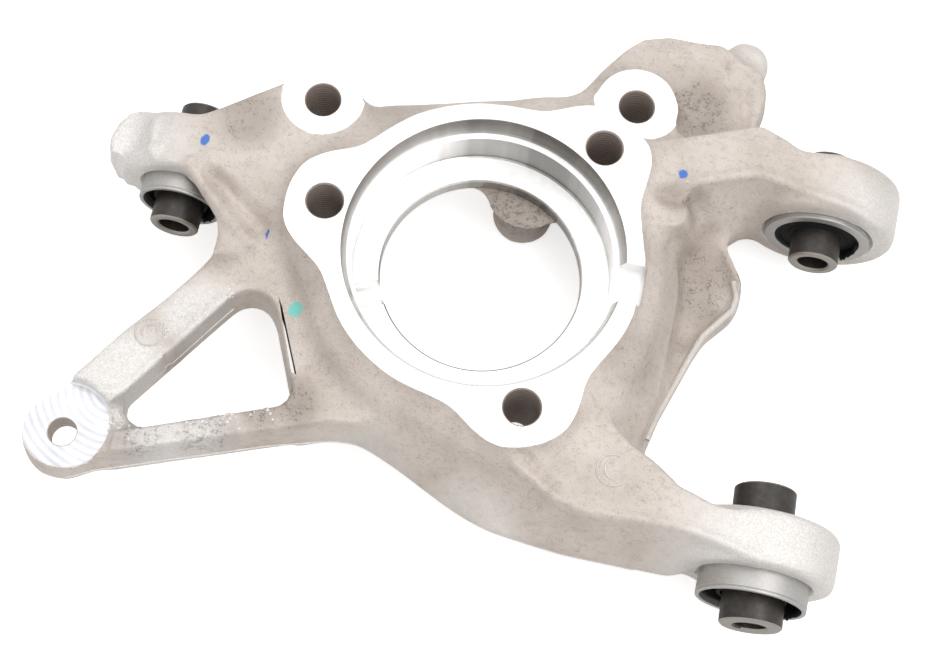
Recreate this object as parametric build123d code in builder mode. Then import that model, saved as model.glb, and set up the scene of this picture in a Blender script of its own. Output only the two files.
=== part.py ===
from build123d import *
import os
from math import cos, exp, radians, sin

os.makedirs("parts", exist_ok=True)

# Frame, in millimetres: Z is the hub axis and Z = 0 the machined hub face, which looks outboard.
# Y runs along the two upper bushings and X towards the arm that carries the right-hand ones.
# Outlines of the casting are drawn on the parting plane, where a drafted wall is widest.

# Hub: the stepped bore, its lip, the three bearing bolts, the sensor notch and the drain groove
hub_mouth_radius = 56.0
hub_land_radius = 53.9
hub_land_z = -5.0
hub_bore_radius = 51.8
hub_seat_z = -9.0
hub_ledge_z = -27.0
hub_lip_radius = 40.6
hub_lip_thickness = 7.0
hub_back_radius = 52.0
hub_back_draft = 12.0
hub_bolt_circle_radius = 65.5
hub_bolt_hole_radius = 7.25
hub_bolt_angles = (55.0, 175.0, 295.0)
sensor_notch_y = (-8.7, 7.7)
sensor_notch_reach = 66.0
sensor_notch_depth = 7.0
drain_groove_radius = 5.5
drain_groove_angle = 204.0
drain_groove_rise = 1.0
drain_groove_reach = 53.0

# Hub face and the cast shoulder under it, as reach from the hub axis in even steps of angle. The
# first step is 10 degrees from +X, so that a step falls on each bolt.
hub_first_angle = 10.0
hub_face_radius = 62.3
hub_lobe_rise = 18.0
hub_lobe_half_angle = 18.0
shoulder_knee_z = -7.0
shoulder_knee_share = 0.5
shoulder_z = -22.0
shoulder_reach = (
    79.5, 81.0, 86.0, 90.0, 88.0, 80.5, 73.0, 73.0, 81.0, 88.5, 93.5, 92.5,
    85.5, 79.5, 80.5, 81.0, 81.0, 84.0, 91.0, 96.0, 97.0, 92.5, 85.0, 79.5,
)
body_reach = (
    81.0, 82.5, 87.5, 91.5, 89.5, 82.5, 77.0, 77.0, 83.0, 89.5, 95.0, 94.0,
    87.0, 81.0, 81.5, 87.0, 85.0, 89.0, 101.0, 111.0, 105.0, 95.0, 86.5, 81.0,
)
body_back_z = -46.0
body_back_inset = 6.0

# Casting: where the mould halves meet, and the draft and rounding of its walls
parting_z = -34.0
wall_draft = 7.0
corner_radius = 4.0
deep_corner_radius = 5.0

# Caliper bosses
caliper_left = (-77.6, 52.5)
caliper_right = (47.0, 79.4)
caliper_face_z = -10.0
caliper_hole_radius = 7.0
caliper_left_boss_radius = 16.0
caliper_right_boss_radius = 17.0
caliper_boss_back_z = -50.0
caliper_boss_draft = 4.0
caliper_spotface_margin = 0.8

# Bushings: axis at X and Z, ends of the inner sleeve, the shell and the eye along Y
left_bushing_x = -126.0
left_bushing_z = -32.0
left_sleeve_y = (-6.9, 45.4)
left_sleeve_radius = 9.95
left_shell_y = (2.2, 35.0)
left_shell_radius = 16.8
left_shell_wall = 1.8
left_eye_y = (9.4, 34.0)
left_eye_radius = 25.5

right_bushing_x = 131.1
right_bushing_z = -32.0
right_sleeve_y = (37.7, 84.7)
right_sleeve_radius = 10.1
right_shell_y = (48.5, 75.5)
right_shell_radius = 21.4
right_shell_wall = 3.2
right_eye_y = (50.0, 74.5)
right_eye_radius = 31.0

lower_bushing_x = 130.2
lower_bushing_z = -34.0
lower_sleeve_y = (-115.3, -60.0)
lower_sleeve_radius = 12.3
lower_shell_y = (-106.5, -74.0)
lower_shell_radius = 21.7
lower_shell_wall = 1.8
lower_eye_y = (-97.5, -75.0)
lower_eye_radius = 30.7
lower_sleeve_lean = 3.1

sleeve_bore_radius = 6.2
sleeve_end_chamfer = 0.8
eye_mouth_chamfer = 1.5
eye_edge_bevel = 2.0
bushing_relief_length = 20.0
shell_end_bevel = 0.6
shell_groove_from_end = 2.6
shell_groove_depth = 0.6
rubber_recess = 2.5
rubber_groove_depth = 6.0
rubber_skin = 1.4
rubber_groove_bevel = 0.9

# Arms, as plans on the parting plane; each starts inside the hub body and ends past its eye.
# All plans of drafted plates run anticlockwise as seen from the front.
left_arm_plan = (
    (-62, 20), (-62, 50), (-72, 63), (-90, 62.5), (-104, 52), (-117, 42), (-130, 33), (-158, 33),
    (-158, 10.6), (-112, 10.6), (-106, 0), (-102, -12), (-98, -30), (-72, -30),
)
left_arm_root = (-75.0, -3.0, -50.0)
left_valley = ((3.0, -5.0), (-32.0, -15.0))
left_pad_plan = ((-136, 13), (-136, 31), (-149, 31), (-160, 26), (-160, 15), (-148, 13))
left_pad_front_z = -18.0
left_pad_back_z = -48.0
left_pad_draft = 12.0
left_pad_corner_radius = 3.0

right_arm_plan = (
    (50, 24), (72, 24), (86, 32), (97, 42), (106, 51.2), (168, 51.2), (168, 73.3),
    (122, 73.3), (112, 79), (98, 84), (85, 79), (66, 71), (50, 66),
)
right_arm_root = (72.0, -3.0, -50.0)

lower_arm_plan = (
    (50, -36), (66, -56), (80, -62), (90, -69), (108, -76.2), (168, -76.2), (168, -96.3), (113, -96.3),
    (97, -103), (55, -103.6), (36, -102), (18, -94), (10, -70), (30, -52),
)
lower_arm_front_plan = (
    (50, -36), (66, -60), (80, -68), (90, -74), (108, -79), (168, -79), (168, -93), (113, -93),
    (97, -91), (60, -92), (46, -89), (28, -79), (22, -70), (30, -52),
)
lower_arm_root = (40.0, -4.0, -50.0)
lower_arm_back_draft = 14.0

# Horn above the right caliper boss, with the small boss on its tip
horn_plan = (
    (0, 56), (30, 50), (60, 56), (97, 78), (99, 88), (101, 99), (100, 108), (92, 116),
    (78, 122.8), (54, 121.3), (44, 117.8), (36.5, 110.3), (29.5, 99.8), (23, 87.8), (14, 81.3),
    (2, 73.3),
)
horn_front_z = -20.0
horn_back_z = -50.0
tip_boss = (89.0, 120.5)
tip_boss_radius = 10.0
tip_boss_front_z = -26.0
tip_boss_back_z = -56.0
tip_boss_dome = 7.0

# Link frame: the drafted triangle, its window, the thin rib by the body and the lug at its tip
frame_plan = (
    (-66, -2), (-98, -8), (-104, -15), (-111, -28), (-120, -42), (-132, -58), (-148, -83),
    (-156.5, -98), (-157, -108), (-150, -115.8), (-138, -117), (-43, -79.4), (-30, -77.5),
    (-20, -66), (-50, -30),
)
frame_front_z = -15.0
frame_back_z = -40.0
window_corners = ((-82.3, -19.7), (-58.2, -72.8), (-137.8, -105.5))
window_corner_radii = (11.0, 6.0, 6.0)
window_draft = 3.0
rib_gap = ((-74.2, -32.5), (-61.2, -60.3))
rib_gap_width = 2.4
lug_center = (-143.3, -102.7)
lug_radius = 16.3
lug_face_z = -22.0
lug_back_z = -33.5
lug_hole_radius = 5.5
lug_spotface_radius = 20.0

# Fin: a thin web beside the body with a raised bead along its rim
fin_rim = (
    (92, 42), (105.2, 22.6), (105.1, 8.8), (94.3, -4.3), (90.7, -13.9), (82, -42.1), (77, -67),
)
fin_rim_radius = 14.0
fin_root = ((62.0, -67.0), (58.0, 42.0))
fin_front_z = -35.0
fin_back_z = -43.0
fin_bead_front_z = -31.0
fin_bead_width = 3.2

# Boss on the inboard side above the bore, with its web
rear_boss = (10.6, 43.0)
rear_boss_radius = 12.7
rear_boss_top_z = -33.0
rear_boss_end_z = -63.0
rear_boss_dome = 6.0
rear_web_plan = ((-24, 62), (-18, 47), (-3, 41), (10, 38), (22, 62))
rear_web_back_z = -56.0

# Cuts run this far past the casting
past = 1.0
casting_reach = 200.0
arm_root_length = 40.0
arm_step_at_eye = 1.2


def hub_face_reach(angle):
    """Reach of the machined face at an angle, with a flat-topped lobe round each bolt."""
    reach = hub_face_radius
    for bolt_angle in hub_bolt_angles:
        away = (angle - bolt_angle + 180) % 360 - 180
        reach += hub_lobe_rise * exp(-((away / hub_lobe_half_angle) ** 4))
    return reach


def around_hub(reaches, level):
    """Face inside the closed curve with one reach for each equal step of angle."""
    angles = [hub_first_angle + 360 / len(reaches) * i for i in range(len(reaches))]
    points = [
        (reach * cos(radians(angle)), reach * sin(radians(angle)))
        for angle, reach in zip(angles, reaches)
    ]
    with BuildSketch(Plane.XY.offset(level)) as section:
        with BuildLine():
            Spline(*points, periodic=True)
        make_face()
    return section.sketch


def drafted_plate(plan, front_z, back_z, draft, radius=corner_radius):
    """Plate between two levels whose walls lean in from the parting plane, with rounded corners."""
    with BuildPart() as plate:
        for level in (front_z, back_z):
            with BuildSketch(Plane.XY.offset(parting_z)) as outline:
                with BuildLine():
                    Polyline(*plan, close=True)
                make_face()
                fillet(outline.vertices(), radius)
            extrude(amount=level - parting_z, taper=draft)
    return plate.part


def leaning_plate(front_plan, plan, front_z, back_z, draft):
    """Plate whose front outline is drawn by itself, corner for corner with the parting plane's."""
    with BuildPart() as plate:
        for outline, level in ((front_plan, front_z), (plan, parting_z)):
            with BuildSketch(Plane.XY.offset(level)):
                with BuildLine():
                    Polyline(*outline, close=True)
                make_face()
        loft(ruled=True)
        with BuildSketch(Plane.XY.offset(parting_z)):
            with BuildLine():
                Polyline(*plan, close=True)
            make_face()
        extrude(amount=back_z - parting_z, taper=draft)
    return plate.part


def cylinder_along_y(x, z, radius, ends):
    """Cylinder about a line along Y, between two values of Y."""
    with BuildPart() as cylinder:
        with BuildSketch(Plane(origin=(x, ends[0], z), x_dir=(1, 0, 0), z_dir=(0, 1, 0))):
            Circle(radius)
        extrude(amount=ends[1] - ends[0])
    return cylinder.part


def turned_along_y(x, z, profile, bevelled=(), bevel=0.0):
    """Body turned about a line along Y from radius and Y pairs, with some corners bevelled."""
    with BuildPart() as turned:
        with BuildSketch(Plane.XY.offset(z)) as outline:
            with BuildLine():
                Polyline(*[(x + radius, y) for radius, y in profile], close=True)
            make_face()
            if bevelled:
                corners = [
                    outline.vertices().sort_by_distance((x + radius, y, z))[0] for radius, y in bevelled
                ]
                chamfer(corners, bevel)
        revolve(axis=Axis((x, 0, z), (0, 1, 0)))
    return turned.part


def eye_cut(x, z, radius, eye_y):
    """Bore of an eye with a chamfer at each mouth and the clear way for the tools beyond them."""
    start, end = eye_y
    mouth = radius + eye_mouth_chamfer
    return turned_along_y(x, z, (
        (0, start - bushing_relief_length),
        (mouth, start - bushing_relief_length),
        (mouth, start),
        (radius, start + eye_mouth_chamfer),
        (radius, end - eye_mouth_chamfer),
        (mouth, end),
        (mouth, end + bushing_relief_length),
        (0, end + bushing_relief_length),
    ))


def bushing_shell(x, z, radius, wall, shell_y, grooves=()):
    """Tube with bevelled rims, and a shallow turned groove at each given Y."""
    start, end = shell_y
    rims = ((radius, start), (radius, end))
    outside = [rims[0]]
    for groove_y in grooves:
        outside += [
            (radius, groove_y - shell_groove_depth),
            (radius - shell_groove_depth, groove_y),
            (radius, groove_y + shell_groove_depth),
        ]
    tube = ((radius - wall, start), *outside, rims[1], (radius - wall, end))
    return turned_along_y(x, z, tube, rims, shell_end_bevel)


def sleeve_blank(x, z, radius, sleeve_y, lean):
    """Solid sleeve about a line that leans from Y in the plane of the parting line."""
    middle = (sleeve_y[0] + sleeve_y[1]) / 2
    half = (sleeve_y[1] - sleeve_y[0]) / 2
    with BuildPart() as sleeve:
        along = (-sin(radians(lean)), cos(radians(lean)), 0)
        with BuildSketch(Plane(origin=(x, middle, z), x_dir=(0, 0, 1), z_dir=along)):
            Circle(radius)
        extrude(amount=half, both=True)
    return sleeve.part


def bushing_sleeve(x, z, radius, sleeve_y, lean=0.0):
    """Steel sleeve with its bolt bore, chamfered at both ends."""
    with BuildPart() as sleeve:
        add(sleeve_blank(x, z, radius, sleeve_y, lean))
        add(sleeve_blank(x, z, sleeve_bore_radius, sleeve_y, lean), mode=Mode.SUBTRACT)
        chamfer(sleeve.edges().filter_by(GeomType.CIRCLE), sleeve_end_chamfer)
    return sleeve.part


def bushing_rubber(x, z, shell_radius, shell_wall, shell_y, sleeve_radius, sleeve_y, lean=0.0):
    """Rubber between shell and sleeve, with a moulded channel in each end."""
    outer = shell_radius - shell_wall
    start, end = shell_y[0] + rubber_recess, shell_y[1] - rubber_recess
    channel = (sleeve_radius + rubber_skin, outer - rubber_skin)
    bottoms = (start + rubber_groove_depth, end - rubber_groove_depth)
    profile = (
        (0, start), (channel[0], start), (channel[0], bottoms[0]), (channel[1], bottoms[0]),
        (channel[1], start), (outer, start), (outer, end), (channel[1], end),
        (channel[1], bottoms[1]), (channel[0], bottoms[1]), (channel[0], end), (0, end),
    )
    corners = [(radius, y) for radius in channel for y in bottoms]
    with BuildPart() as rubber:
        add(turned_along_y(x, z, profile, corners, rubber_groove_bevel))
        add(sleeve_blank(x, z, sleeve_radius, sleeve_y, lean), mode=Mode.SUBTRACT)
    return rubber.part


def arm(plate, root, eye_x, eye_z, eye_radius, eye_y):
    """Plate cut to a side view that runs from its root at the body round the barrel of its eye."""
    root_x, root_front_z, root_back_z = root
    with BuildPart() as body:
        add(plate)
        with BuildSketch(Plane.XZ.offset(-casting_reach)):
            with Locations((eye_x, eye_z)):
                Circle(eye_radius - arm_step_at_eye)
            with Locations((root_x, (root_front_z + root_back_z) / 2)):
                Rectangle(arm_root_length, root_front_z - root_back_z)
            make_hull()
        extrude(amount=2 * casting_reach, mode=Mode.INTERSECT)
    with BuildPart() as barrel:
        add(cylinder_along_y(eye_x, eye_z, eye_radius, eye_y))
        chamfer(barrel.edges().filter_by(GeomType.CIRCLE), eye_edge_bevel)
    with BuildPart() as whole:
        add(body.part)
        add(barrel.part)
    return whole.part


with BuildPart() as shoulder:
    face_reach = [
        hub_face_reach(hub_first_angle + 360 / len(shoulder_reach) * i)
        for i in range(len(shoulder_reach))
    ]
    knee_reach = [
        face + shoulder_knee_share * (reach - face) for face, reach in zip(face_reach, shoulder_reach)
    ]
    add(around_hub(face_reach, 0))
    add(around_hub(knee_reach, shoulder_knee_z))
    add(around_hub(shoulder_reach, shoulder_z))
    add(around_hub(body_reach, parting_z))
    add(around_hub([reach - body_back_inset for reach in body_reach], body_back_z))
    loft(ruled=True)

with BuildPart() as left_arm:
    add(
        arm(
            drafted_plate(
                left_arm_plan,
                left_bushing_z + left_eye_radius,
                left_bushing_z - left_eye_radius,
                wall_draft,
            ),
            left_arm_root, left_bushing_x, left_bushing_z, left_eye_radius, left_eye_y,
        )
    )
    with BuildSketch(Plane.YZ.offset(-casting_reach)):
        with BuildLine():
            Polyline(
                (left_valley[0][0], 0), left_valley[0], left_valley[1], (left_valley[1][0], 0),
                close=True,
            )
        make_face()
    extrude(amount=casting_reach, mode=Mode.SUBTRACT)
right_arm = arm(
    drafted_plate(
        right_arm_plan,
        right_bushing_z + right_eye_radius,
        right_bushing_z - right_eye_radius,
        wall_draft,
        deep_corner_radius,
    ),
    right_arm_root, right_bushing_x, right_bushing_z, right_eye_radius, right_eye_y,
)
lower_arm = arm(
    leaning_plate(
        lower_arm_front_plan,
        lower_arm_plan,
        lower_bushing_z + lower_eye_radius,
        lower_bushing_z - lower_eye_radius,
        lower_arm_back_draft,
    ),
    lower_arm_root, lower_bushing_x, lower_bushing_z, lower_eye_radius, lower_eye_y,
)

with BuildPart() as frame:
    add(drafted_plate(frame_plan, frame_front_z, frame_back_z, wall_draft))
    for level in (lug_face_z, lug_back_z):
        with BuildSketch(Plane.XY.offset(level)):
            with Locations(lug_center):
                Circle(lug_spotface_radius)
        extrude(amount=casting_reach if level == lug_face_z else -casting_reach, mode=Mode.SUBTRACT)
    with BuildSketch(Plane.XY.offset(lug_back_z)):
        with Locations(lug_center):
            Circle(lug_radius)
    extrude(amount=lug_face_z - lug_back_z, taper=wall_draft)
    with BuildSketch(Plane.XY.offset(frame_front_z)) as window:
        with BuildLine():
            Polyline(*window_corners, close=True)
        make_face()
        for corner, radius in zip(window_corners, window_corner_radii):
            fillet(window.vertices().sort_by_distance(corner)[0], radius)
    extrude(amount=frame_back_z - frame_front_z, taper=window_draft, mode=Mode.SUBTRACT)
    with BuildSketch(Plane.XY.offset(frame_front_z)):
        with BuildLine():
            Line(*rib_gap)
        trace(line_width=rib_gap_width)
    extrude(amount=frame_back_z - frame_front_z, mode=Mode.SUBTRACT)

with BuildPart() as fin:
    with BuildSketch(Plane.XY.offset(fin_back_z)) as fin_plan:
        with BuildLine():
            FilletPolyline(*fin_rim, radius=fin_rim_radius)
            Polyline(fin_rim[-1], *fin_root, fin_rim[0])
        make_face()
    extrude(amount=fin_front_z - fin_back_z)
    with BuildSketch(Plane.XY.offset(fin_back_z)):
        add(fin_plan.sketch)
        offset(fin_plan.sketch, amount=-fin_bead_width, mode=Mode.SUBTRACT)
    extrude(amount=fin_bead_front_z - fin_back_z)

with BuildPart() as rear_boss_blank:
    with BuildSketch(Plane.XY.offset(rear_boss_top_z)):
        with Locations(rear_boss):
            Circle(rear_boss_radius)
    extrude(amount=rear_boss_end_z - rear_boss_top_z)
    fillet(rear_boss_blank.edges().sort_by(Axis.Z)[-1], rear_boss_dome)
    with BuildSketch(Plane.XY.offset(rear_boss_top_z)):
        with BuildLine():
            Polyline(*rear_web_plan, close=True)
        make_face()
    extrude(amount=rear_web_back_z - rear_boss_top_z)

with BuildPart() as caliper_bosses:
    for center, radius in (
        (caliper_left, caliper_left_boss_radius),
        (caliper_right, caliper_right_boss_radius),
    ):
        with BuildSketch(Plane.XY.offset(caliper_face_z)):
            with Locations(center):
                Circle(radius)
        extrude(amount=caliper_boss_back_z - caliper_face_z, taper=-caliper_boss_draft)

with BuildPart() as tip_boss_blank:
    with BuildSketch(Plane.XY.offset(tip_boss_front_z)):
        with Locations(tip_boss):
            Circle(tip_boss_radius)
    extrude(amount=tip_boss_back_z - tip_boss_front_z)
    fillet(tip_boss_blank.edges().sort_by(Axis.Z)[-1], tip_boss_dome)

with BuildPart() as hub_bore:
    with BuildSketch(Plane.XZ):
        with BuildLine():
            Polyline(
                (0, past),
                (hub_mouth_radius, past),
                (hub_mouth_radius, 0),
                (hub_land_radius, hub_land_z),
                (hub_land_radius, hub_seat_z),
                (hub_bore_radius, hub_seat_z),
                (hub_bore_radius, hub_ledge_z),
                (hub_lip_radius, hub_ledge_z),
                (hub_lip_radius, hub_ledge_z - hub_lip_thickness),
                (0, hub_ledge_z - hub_lip_thickness),
                close=True,
            )
        make_face()
    revolve(axis=Axis.Z)

with BuildPart() as body_hollow:
    with BuildSketch(Plane.XY.offset(body_back_z - past)):
        Circle(hub_back_radius)
    extrude(amount=hub_ledge_z - hub_lip_thickness - body_back_z + past, taper=hub_back_draft)

with BuildPart() as hub_cuts:
    with BuildSketch(Plane.XY):
        with Locations((sensor_notch_reach, (sensor_notch_y[0] + sensor_notch_y[1]) / 2)):
            Rectangle(
                sensor_notch_reach - hub_lip_radius,
                sensor_notch_y[1] - sensor_notch_y[0],
                align=(Align.MAX, Align.CENTER),
            )
    extrude(amount=-sensor_notch_depth)
    groove_way = (cos(radians(drain_groove_angle)), sin(radians(drain_groove_angle)), 0)
    groove_start = (0, 0, hub_ledge_z + drain_groove_rise)
    with BuildSketch(Plane(origin=groove_start, x_dir=(0, 0, 1), z_dir=groove_way)):
        Circle(drain_groove_radius)
    extrude(amount=drain_groove_reach)
    for bolt_angle in hub_bolt_angles:
        with BuildSketch(Plane.XY):
            with PolarLocations(hub_bolt_circle_radius, 1, bolt_angle):
                Circle(hub_bolt_hole_radius)
        extrude(amount=-casting_reach)

with BuildPart() as caliper_cuts:
    for center, radius in (
        (caliper_left, caliper_left_boss_radius),
        (caliper_right, caliper_right_boss_radius),
    ):
        with BuildSketch(Plane.XY.offset(caliper_face_z)):
            with Locations(center):
                Circle(radius + caliper_spotface_margin)
        extrude(amount=-caliper_face_z)
        with BuildSketch(Plane.XY.offset(caliper_face_z)):
            with Locations(center):
                Circle(caliper_hole_radius)
        extrude(amount=-casting_reach)

with BuildPart() as lug_hole:
    with BuildSketch(Plane.XY):
        with Locations(lug_center):
            Circle(lug_hole_radius)
    extrude(amount=-casting_reach)

with BuildPart() as knuckle_casting:
    add(
        (
            shoulder.part,
            left_arm.part,
            drafted_plate(
                left_pad_plan, left_pad_front_z, left_pad_back_z, left_pad_draft,
                left_pad_corner_radius,
            ),
            right_arm,
            lower_arm,
            drafted_plate(horn_plan, horn_front_z, horn_back_z, wall_draft),
            frame.part,
            tip_boss_blank.part,
            caliper_bosses.part,
        )
    )
    add(body_hollow.part, mode=Mode.SUBTRACT)
    add((fin.part, rear_boss_blank.part))
    add(
        (
            hub_bore.part,
            hub_cuts.part,
            caliper_cuts.part,
            lug_hole.part,
            eye_cut(left_bushing_x, left_bushing_z, left_shell_radius, left_eye_y),
            eye_cut(right_bushing_x, right_bushing_z, right_shell_radius, right_eye_y),
            eye_cut(lower_bushing_x, lower_bushing_z, lower_shell_radius, lower_eye_y),
        ),
        mode=Mode.SUBTRACT,
    )

knuckle_casting.part.label = "knuckle_casting"
export_step(knuckle_casting.part, "parts/knuckle_casting.step")

for side, x, z, shell_radius, shell_wall, shell_y, sleeve_radius, sleeve_y, lean, grooves in (
    (
        "left", left_bushing_x, left_bushing_z, left_shell_radius, left_shell_wall, left_shell_y,
        left_sleeve_radius, left_sleeve_y, 0.0, (left_shell_y[0] + shell_groove_from_end,),
    ),
    (
        "right", right_bushing_x, right_bushing_z, right_shell_radius, right_shell_wall, right_shell_y,
        right_sleeve_radius, right_sleeve_y, 0.0, (),
    ),
    (
        "lower", lower_bushing_x, lower_bushing_z, lower_shell_radius, lower_shell_wall, lower_shell_y,
        lower_sleeve_radius, lower_sleeve_y, lower_sleeve_lean, (),
    ),
):
    with BuildPart() as shell:
        add(bushing_shell(x, z, shell_radius, shell_wall, shell_y, grooves))
    shell.part.label = f"{side}_bushing_shell"
    export_step(shell.part, f"parts/{side}_bushing_shell.step")
    with BuildPart() as rubber:
        add(
            bushing_rubber(
                x, z, shell_radius, shell_wall, shell_y, sleeve_radius, sleeve_y, lean
            )
        )
    rubber.part.label = f"{side}_bushing_rubber"
    export_step(rubber.part, f"parts/{side}_bushing_rubber.step")
    with BuildPart() as sleeve:
        add(bushing_sleeve(x, z, sleeve_radius, sleeve_y, lean))
    sleeve.part.label = f"{side}_bushing_sleeve"
    export_step(sleeve.part, f"parts/{side}_bushing_sleeve.step")
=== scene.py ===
import bpy
import bmesh
import numpy as np
from math import cos, exp, hypot, pi, radians, sin, tan
from mathutils import Matrix, Vector


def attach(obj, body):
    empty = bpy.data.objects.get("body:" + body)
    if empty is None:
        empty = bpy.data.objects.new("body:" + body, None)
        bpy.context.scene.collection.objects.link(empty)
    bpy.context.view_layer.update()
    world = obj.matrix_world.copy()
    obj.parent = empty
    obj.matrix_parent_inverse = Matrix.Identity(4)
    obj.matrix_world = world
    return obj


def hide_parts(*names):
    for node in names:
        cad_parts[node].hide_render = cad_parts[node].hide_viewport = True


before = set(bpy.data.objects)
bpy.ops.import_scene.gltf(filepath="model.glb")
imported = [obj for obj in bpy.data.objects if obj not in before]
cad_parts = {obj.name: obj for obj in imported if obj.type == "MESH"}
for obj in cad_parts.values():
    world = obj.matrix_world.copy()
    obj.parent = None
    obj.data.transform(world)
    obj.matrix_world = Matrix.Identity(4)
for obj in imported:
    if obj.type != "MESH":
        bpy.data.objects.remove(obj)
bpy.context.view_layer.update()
mm = 0.001  # every size below is in millimetres and becomes metres where a mesh is made

view = {
    "lens": 77.42, "sensor": 36.0,
    "place": (23.57, -287.08, 725.58), "turn": (19.147, -2.4726, 12.4329),  # millimetres and degrees
}
camera = bpy.data.objects.new("camera", bpy.data.cameras.new("camera"))
camera.data.lens = view["lens"]
camera.data.sensor_width = view["sensor"]
camera.data.clip_end = 20
camera.location = [v * mm for v in view["place"]]
camera.rotation_euler = [radians(v) for v in view["turn"]]
bpy.context.scene.collection.objects.link(camera)
bpy.context.scene.camera = camera
bpy.context.scene.view_settings.view_transform = "Standard"
print("stage: camera")


# meshes

def newPiece(name, mesh):
    piece = bpy.data.objects.new(name, mesh)
    bpy.context.scene.collection.objects.link(piece)
    return piece


def finalMesh(piece):  # applies the modifiers of a piece and removes them
    graph = bpy.context.evaluated_depsgraph_get()
    mesh = bpy.data.meshes.new_from_object(piece.evaluated_get(graph))
    piece.modifiers.clear()
    piece.data = mesh


def circleRing(radius, height, segments):
    angles = [2 * pi * i / segments for i in range(segments)]
    return [(radius * cos(a), radius * sin(a), height) for a in angles]


def turnedMesh(name, profile, segments, closed=False):
    # solid of revolution about Z from (radius, height) pairs; closed joins the last pair to the first
    rings, mesh = bmesh.new(), bpy.data.meshes.new(name)
    rows = []
    for radius, height in profile:
        if radius == 0:
            rows.append([rings.verts.new((0, 0, height * mm))])
        else:
            rows.append([rings.verts.new(Vector(p) * mm) for p in circleRing(radius, height, segments)])
    pairs = list(zip(rows, rows[1:] + rows[:1])) if closed else list(zip(rows, rows[1:]))
    for low, high in pairs:
        for i in range(segments):
            j = (i + 1) % segments
            corners = [low[i % len(low)], low[j % len(low)], high[j % len(high)], high[i % len(high)]]
            corners = [c for k, c in enumerate(corners) if c not in corners[:k]]
            if len(corners) > 2:
                rings.faces.new(corners)
    bmesh.ops.recalc_face_normals(rings, faces=rings.faces)
    rings.to_mesh(mesh)
    rings.free()
    return mesh


def prismMesh(name, outline, low, high, top=None):
    # prism over an outline in X and Y, tapered to a second outline of as many points where top is given
    solid, mesh = bmesh.new(), bpy.data.meshes.new(name)
    floor = [solid.verts.new((x * mm, y * mm, low * mm)) for x, y in outline]
    roof = [solid.verts.new((x * mm, y * mm, high * mm)) for x, y in top or outline]
    solid.faces.new(floor)
    solid.faces.new(roof)
    for i in range(len(outline)):
        j = (i + 1) % len(outline)
        solid.faces.new([floor[i], floor[j], roof[j], roof[i]])
    bmesh.ops.recalc_face_normals(solid, faces=solid.faces)
    solid.to_mesh(mesh)
    solid.free()
    return mesh


def pathMesh(name, paths):  # bare edges along each (closed, points) path
    mesh, points, edges = bpy.data.meshes.new(name), [], []
    for closed, path in paths:
        first = len(points)
        points += [[v * mm for v in point] for point in path]
        edges += [(first + i, first + i + 1) for i in range(len(path) - 1)]
        if closed:
            edges.append((len(points) - 1, first))
    mesh.from_pydata(points, edges, [])
    return mesh


def placed(mesh, centre, lean=None):  # moves a mesh made at the origin; lean lays its Z axis along Y
    if lean is not None:
        mesh.transform(Matrix.Rotation(radians(lean), 4, "Z") @ Matrix.Rotation(radians(-90), 4, "X"))
    mesh.transform(Matrix.Translation(Vector(centre) * mm))
    return mesh


def rounded(profile, radii, steps=5):  # a closed outline with an arc at each corner that has a radius
    points = []
    for i, (x, y) in enumerate(profile):
        radius = radii[i % len(radii)]
        before, here, after = Vector(profile[i - 1]), Vector((x, y)), Vector(
            profile[(i + 1) % len(profile)],
        )
        toBefore, toAfter = (before - here).normalized(), (after - here).normalized()
        angle = toBefore.angle(toAfter)
        reach = radius / tan(angle / 2) if radius else 0
        reach = min(reach, 0.48 * (before - here).length, 0.48 * (after - here).length)
        if reach < 1e-4:
            points.append((x, y))
            continue
        start, end = here + toBefore * reach, here + toAfter * reach
        for k in range(steps + 1):
            t = k / steps
            point = start * (1 - t) ** 2 + here * 2 * t * (1 - t) + end * t ** 2
            points.append((point.x, point.y))
    return points


# the casting: its solid is filled where it is machined, melted into one skin, pressed, then cut

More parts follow.
